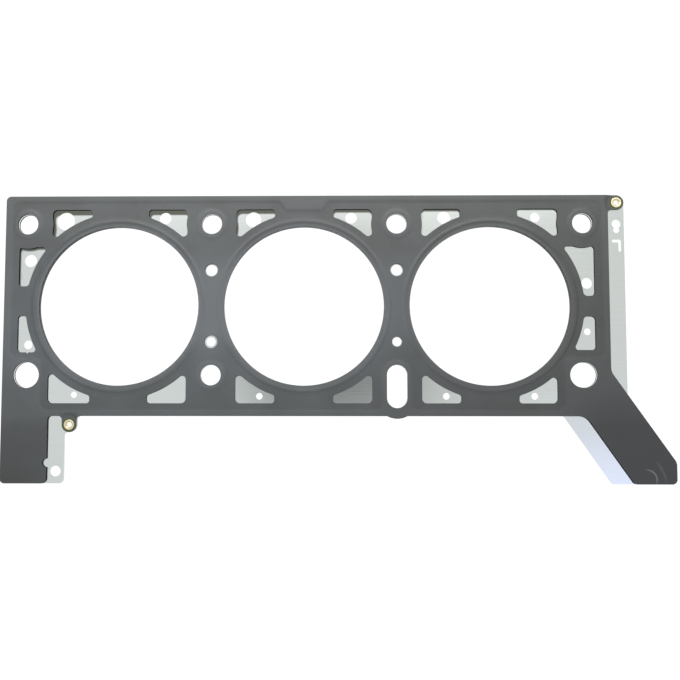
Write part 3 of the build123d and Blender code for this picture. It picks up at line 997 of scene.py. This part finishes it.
def measured(tree, name):
    """A socket with a named value that the piece's mesh holds for each corner."""
    return add_node(tree, "ShaderNodeAttribute", attribute_name=name).outputs["Fac"]


def new_material(name):
    """An empty material, its node tree and a socket with places on the object."""
    material = bpy.data.materials.new(name)
    material.use_nodes = True
    tree = material.node_tree
    tree.nodes.clear()
    return material, tree, add_node(tree, "ShaderNodeTexCoord").outputs["Object"]


def finished(material, inputs):
    """The material with a Principled shader of these inputs on its output."""
    tree = material.node_tree
    shader = add_node(tree, "ShaderNodeBsdfPrincipled", inputs)
    add_node(tree, "ShaderNodeOutputMaterial", {"Surface": shader.outputs[0]})
    return material


def coated_steel(colours, p):
    """Steel sheet with a screened elastomer coat: satin, with fine grain and faint clouds.

    The coat is thin where it was rubbed. The legs are darkened with painted shade, and a ring of painted
    shade and painted reflection of the brass lies round each eyelet. Its punched edges are grey, without
    sheen.
    """
    material, tree, place = new_material("elastomer_coated_steel")
    # Clouds 30 mm across, where the coat is a little thicker or thinner.
    clouds = noise(tree, place, 33, 3, 0.55)
    # Grain of the screened coat, 0.5 mm across; the real one is finer than the render shows.
    grain = noise(tree, place, 2000, 2, 0.6)
    shade = ramp(tree, maths(tree, "MULTIPLY_ADD", grain, 0.35, clouds), 0.45, 0.9)
    base = blend(tree, shade, colours.coat_dark, colours.coat)
    # Rubbed coat on the lands beside the bores, the webs and the raised rims is paler. The legs are
    # darkened with painted shade.
    for name, tone in (("rubbed", colours.coat_thin), ("thick", linear("3E3F40"))):
        base = blend(tree, measured(tree, name), base, tone)
    # Two light scuffs on the foot of the right leg: arcs that fade away from their middles.
    for centre, radius, half_width, middle, reach, strength in SCUFFS:
        from_middle = flat_distance(tree, place, middle)
        ends = ramp(tree, from_middle, reach, reach / 3, 0, strength, "SMOOTHSTEP")
        across = maths(tree, "COMPARE", flat_distance(tree, place, centre), radius, half_width)
        base = blend(tree, maths(tree, "MULTIPLY", ends, across), base, linear("8C8E92"))
    # Olive ring round each eyelet, gone 1.7 mm outside it: painted shade of the dish and painted
    # reflection of the brass.
    flange_r = p.e.eyelet_flange_d / 2
    for x, y in p.tabs:
        distance = flat_distance(tree, place, (x, y, 0))
        painted_shade_and_reflection = ramp(tree, distance, flange_r + 0.0017, flange_r + 0.0004, 0, 0.8, "SMOOTHSTEP")
        base = blend(tree, painted_shade_and_reflection, base, linear("52542E"))
    # Punched edges, which stand upright: the torn coat is grey and has no sheen.
    normal = add_node(tree, "ShaderNodeTexCoord").outputs["Normal"]
    upright = add_node(tree, "ShaderNodeSeparateXYZ", {0: normal}).outputs["Z"]
    edge = maths(tree, "COMPARE", upright, 0, 0.5)
    inputs = {
        "IOR": 1.5,
        "Base Color": blend(tree, edge, base, linear("747676")),
        "Specular IOR Level": ramp(tree, edge, 0, 1, 0.4, 0),
        "Roughness": ramp(tree, clouds, 0, 1, 0.38, 0.46),
        "Normal": bumps(tree, grain, 0.25, 0.00003),
    }
    return finished(material, inputs)


def bright_steel(colours, p):
    """Cold-rolled steel, left bare: pale and matt, with streaks along the rolling direction."""
    material, tree, place = new_material("cold_rolled_steel")
    # Rolling streaks 20 mm long and 0.6 mm wide.
    stretch = add_node(tree, "ShaderNodeMapping", {"Vector": place, "Scale": (50, 1600, 1)})
    streaks = noise(tree, stretch.outputs[0], 1, 3, 0.6)
    base = blend(tree, streaks, colours.steel_dark, colours.steel)
    # Painted shadow of the raised sheet: a dark band beside the edges of the raised windows, soft over
    # 1.2 mm.
    painted_shadow = ramp(tree, measured(tree, "shade"), -0.0006, 0.0006, curve="SMOOTHSTEP")
    base = blend(tree, painted_shadow, base, linear("66675F"))
    # Walls of the bores, darkened with painted shade.
    for x in p.bore_xs:
        painted_bore_shade = maths(tree, "LESS_THAN", flat_distance(tree, place, (x, 0, 0)), p.bore_r + 0.0001)
        base = blend(tree, painted_bore_shade, base, linear("5A5B5A"))
    inputs = {
        "Metallic": 1.0,
        "Base Color": base,
        "Roughness": ramp(tree, streaks, 0, 1, 0.16, 0.22),
        "Normal": bumps(tree, streaks, 0.08, 0.00001),
    }
    return finished(material, inputs)


def rolled_brass(colours):
    """Brass set by a rolling tool: satin, with a slight tarnish that varies over 2 mm."""
    material, tree, place = new_material("rolled_brass")
    tarnish = noise(tree, place, 600, 3, 0.6)
    inputs = {
        "Metallic": 1.0,
        "Base Color": blend(tree, tarnish, linear("EADDB0"), colours.brass),
        "Roughness": ramp(tree, tarnish, 0, 1, 0.22, 0.4),
    }
    return finished(material, inputs)


def pale_floor(colours):
    """Back-lit white sweep: the camera and mirror reflections see it pure white.

    To matt surfaces it is a grey table, which keeps the coated edges dark.
    """
    material, tree, _ = new_material("back_lit_sweep")
    table = add_node(
        tree, "ShaderNodeBsdfPrincipled", {"Base Color": linear("8C8C8C"), "Roughness": 0.9}
    )
    glow = add_node(tree, "ShaderNodeEmission", {"Color": colours.floor, "Strength": 1.05})
    ray = add_node(tree, "ShaderNodeLightPath").outputs
    seen = maths(tree, "MAXIMUM", ray["Is Camera Ray"], ray["Is Glossy Ray"])
    shader = add_node(tree, "ShaderNodeMixShader", {0: seen, 1: table.outputs[0], 2: glow.outputs[0]})
    add_node(tree, "ShaderNodeOutputMaterial", {"Surface": shader.outputs[0]})
    return material


def surroundings(values):
    """Pale walls and ceiling, with a darker patch overhead where the camera and its user are.

    Soft patches are added round a direction: their level falls by an S-curve with the cosine of the
    angle from it.
    """
    world = bpy.data.worlds.new("studio")
    world.use_nodes = True
    tree = world.node_tree
    tree.nodes.clear()
    direction = add_node(tree, "ShaderNodeTexCoord").outputs["Generated"]

    def patch(towards, inner, outer, at_centre, outside):
        """A level that changes between two angles, in degrees, from a direction."""
        inputs = {0: direction, 1: Vector(towards).normalized()}
        cosine = add_node(tree, "ShaderNodeVectorMath", inputs, operation="DOT_PRODUCT").outputs["Value"]
        rim, core = (math.cos(math.radians(a)) for a in (outer, inner))
        return ramp(tree, cosine, rim, core, outside, at_centre, "SMOOTHSTEP")

    ceiling = patch((0, 0, 1), 33, 52, values.sky, values.walls)
    camera = patch((0, 0.115, 1), 1, 13, 0.12, 1)
    room = maths(tree, "MULTIPLY", ceiling, camera)
    total = add_node(tree, "ShaderNodeBackground", {"Color": linear("FBFDFB"), "Strength": room})
    for towards, reach, strength, tint in (
        ((-0.35, 0.17, 1), 22, values.left_glow, "D4E4FF"),
        ((0.52, -0.28, 1), 15, values.right_glow, "B0B8FF"),
        ((0.1, 0.45, 1), 20, values.back_glow, "FFFFFA"),
    ):
        inputs = {"Color": linear(tint), "Strength": patch(towards, 0, reach, strength, 0)}
        glow = add_node(tree, "ShaderNodeBackground", inputs)
        total = add_node(tree, "ShaderNodeAddShader", {0: total.outputs[0], 1: glow.outputs[0]})
    add_node(tree, "ShaderNodeOutputWorld", {"Surface": total.outputs[0]})
    return world


# One operator for each piece or group of like pieces, and one for the stage


class GASKET_OT_coated_sheets(Operator):
    """Make the two embossed, coated sheets"""

    bl_idname = "gasket.coated_sheets"
    bl_label = "Coated sheets"

    def execute(self, context):
        p = Layout(context.scene)
        low = low_outline(p)
        loops = [coated_outline(p)] + through_holes(p) + bore_windows(p) + side_windows(p)
        loops += steam_holes(p, STEAM_TOP_D, STEAM_LOW_D)
        free = np.vstack([relief_points(p, low), flat_points(loops[0], p.e.spacing)])
        points, faces = tiled(loops, thinned(free, p.e.fine_spacing / 4))
        raised = raised_share(p, points, low)
        under = p.top_sheet_z + sheet_height(p, points, raised)
        over = under + p.e.sheet_t
        material = coated_steel(context.scene.finishes, p)
        # The rubbed, thinner coat, and the painted shade that darkens the legs.
        measures = {
            "rubbed": np.tile(rubbed(p, points, raised), 2),
            "thick": np.tile(thick(points), 2),
        }
        for name, node, below, above in (
            ("sheet_top", "top_sheet", under, over),
            ("sheet_bottom", "bottom_sheet", 2 * p.mid_z - over, 2 * p.mid_z - under),
        ):
            mesh = shell(points, faces, below, above)
            add_piece(name, *mesh, node, "coated_steel", material, measures=measures)
        return {"FINISHED"}


class GASKET_OT_spacer(Operator):
    """Make the bright spacer"""

    bl_idname = "gasket.spacer"
    bl_label = "Spacer"

    def execute(self, context):
        p = Layout(context.scene)
        loops = [spacer_outline(p)] + through_holes(p) + metering_holes(p) + strip_cuts(p)
        loops += steam_holes(p, SPACER_STEAM_TOP_D, SPACER_STEAM_LOW_D)
        raised = raised_windows(p)
        # Nine rows of points across each shadow and a little beyond its edge.
        rows = [window + run * t for window, run in raised for t in np.linspace(0, 1.3, 9)]
        free = np.vstack(rows + [flat_points(loops[0], 2 * p.e.spacing)])
        points, faces = tiled(loops, thinned(free, p.e.fine_spacing / 4))
        level = np.full(len(points), p.spacer_z)
        mesh = shell(points, faces, level, level + p.e.spacer_t)
        material = bright_steel(context.scene.finishes, p)
        measures = {"shade": window_shade(raised, mesh[0])}
        add_piece("spacer_plate", *mesh, "spacer", "bright_steel", material, measures=measures)
        return {"FINISHED"}


class GASKET_OT_eyelets(Operator):
    """Make the two brass eyelets"""

    bl_idname = "gasket.eyelets"
    bl_label = "Eyelets"

    def execute(self, context):
        p = Layout(context.scene)
        e = p.e
        material = rolled_brass(context.scene.finishes)
        half = e.spacer_t / 2 + e.sheet_t + e.eyelet_flange_t
        grip = half - e.eyelet_flange_t
        inner, barrel, outer = e.eyelet_hole_d / 2, e.eyelet_barrel_d / 2, e.eyelet_flange_d / 2
        # Roundings, as shares of the flange's thickness.
        lip = 1.6 * e.eyelet_flange_t
        edge = 0.45 * e.eyelet_flange_t
        items = [
            (inner, -half, lip),
            (outer, -half, edge),
            (outer, -grip, edge),
            (barrel, -grip, 0),
            (barrel, grip, 0),
            (outer, grip, edge),
            (outer, half, edge),
            (inner, half, lip),
        ]
        profile = loop(items, e.fine_spacing / 8)
        for name, node, (x, y) in (
            ("eyelet_upper_right", "eyelet_right", p.right_tab),
            ("eyelet_lower_left", "eyelet_left", p.left_tab),
        ):
            mesh = revolved(profile, x, y, p.mid_z, steps=64)
            add_piece(name, *mesh, node, "eyelet_brass", material, sharp=40)
        return {"FINISHED"}


class GASKET_OT_studio(Operator):
    """Make the floor, the lights, the surroundings and the camera"""

    bl_idname = "gasket.studio"
    bl_label = "Studio"

    def execute(self, context):
        scene = context.scene
        values = scene.studio_values
        mesh = bpy.data.meshes.new("floor")
        w = FLOOR_W / 2
        mesh.from_pydata([(-w, -w, 0), (w, -w, 0), (w, w, 0), (-w, w, 0)], [], [(0, 1, 2, 3)])
        mesh.materials.append(pale_floor(scene.finishes))
        floor = bpy.data.objects.new("floor", mesh)
        scene.collection.objects.link(floor)

        for name, place, aim, size, tint, mirrored in STRIPS:
            lamp = bpy.data.lights.new(name, "AREA")
            lamp.shape = "RECTANGLE"
            lamp.size, lamp.size_y = size
            lamp.energy = getattr(values, name)
            lamp.color = linear(tint)[:3]
            strip = bpy.data.objects.new(name, lamp)
            strip.location = place
            strip.rotation_euler = (Vector(aim) - strip.location).to_track_quat("-Z", "Y").to_euler()
            strip.visible_camera = False
            strip.visible_glossy = mirrored
            scene.collection.objects.link(strip)
        scene.world = surroundings(values)

        lens = bpy.data.cameras.new("camera")
        lens.lens = values.lens
        lens.sensor_width = 36
        lens.shift_x, lens.shift_y = CAMERA_SHIFT
        lens.clip_start = 0.01
        camera = bpy.data.objects.new("camera", lens)
        scene.collection.objects.link(camera)
        turn = Matrix(CAMERA_AXES).transposed().to_4x4()
        camera.matrix_world = Matrix.Translation((*CAMERA_PLACE, values.camera_height)) @ turn
        scene.camera = camera
        scene.view_settings.view_transform = "Standard"
        return {"FINISHED"}


class GASKET_PT_panel(Panel):
    """Lists the gasket's pieces"""

    bl_idname = "GASKET_PT_panel"
    bl_label = "Head gasket"
    bl_space_type = "VIEW_3D"
    bl_region_type = "UI"
    bl_category = "Gasket"

    def draw(self, context):
        for operator in OPERATORS:
            self.layout.operator(operator.bl_idname)


GROUPS = {
    "gasket_sizes": GasketSizes,
    "emboss_sizes": EmbossSizes,
    "finishes": Finishes,
    "studio_values": StudioValues,
}
OPERATORS = [
    GASKET_OT_coated_sheets,
    GASKET_OT_spacer,
    GASKET_OT_eyelets,
    GASKET_OT_studio,
]


def register():
    for group in GROUPS.values():
        bpy.utils.register_class(group)
    for operator in OPERATORS:
        bpy.utils.register_class(operator)
    bpy.utils.register_class(GASKET_PT_panel)
    for name, group in GROUPS.items():
        setattr(bpy.types.Scene, name, PointerProperty(type=group))


def unregister():
    for name in GROUPS:
        delattr(bpy.types.Scene, name)
    bpy.utils.unregister_class(GASKET_PT_panel)
    for operator in reversed(OPERATORS):
        bpy.utils.unregister_class(operator)
    for group in reversed(GROUPS.values()):
        bpy.utils.unregister_class(group)


def main():
    register()
    bpy.ops.gasket.coated_sheets()
    bpy.ops.gasket.spacer()
    bpy.ops.gasket.eyelets()
    bpy.ops.gasket.studio()


if __name__ == "__main__":
    main()
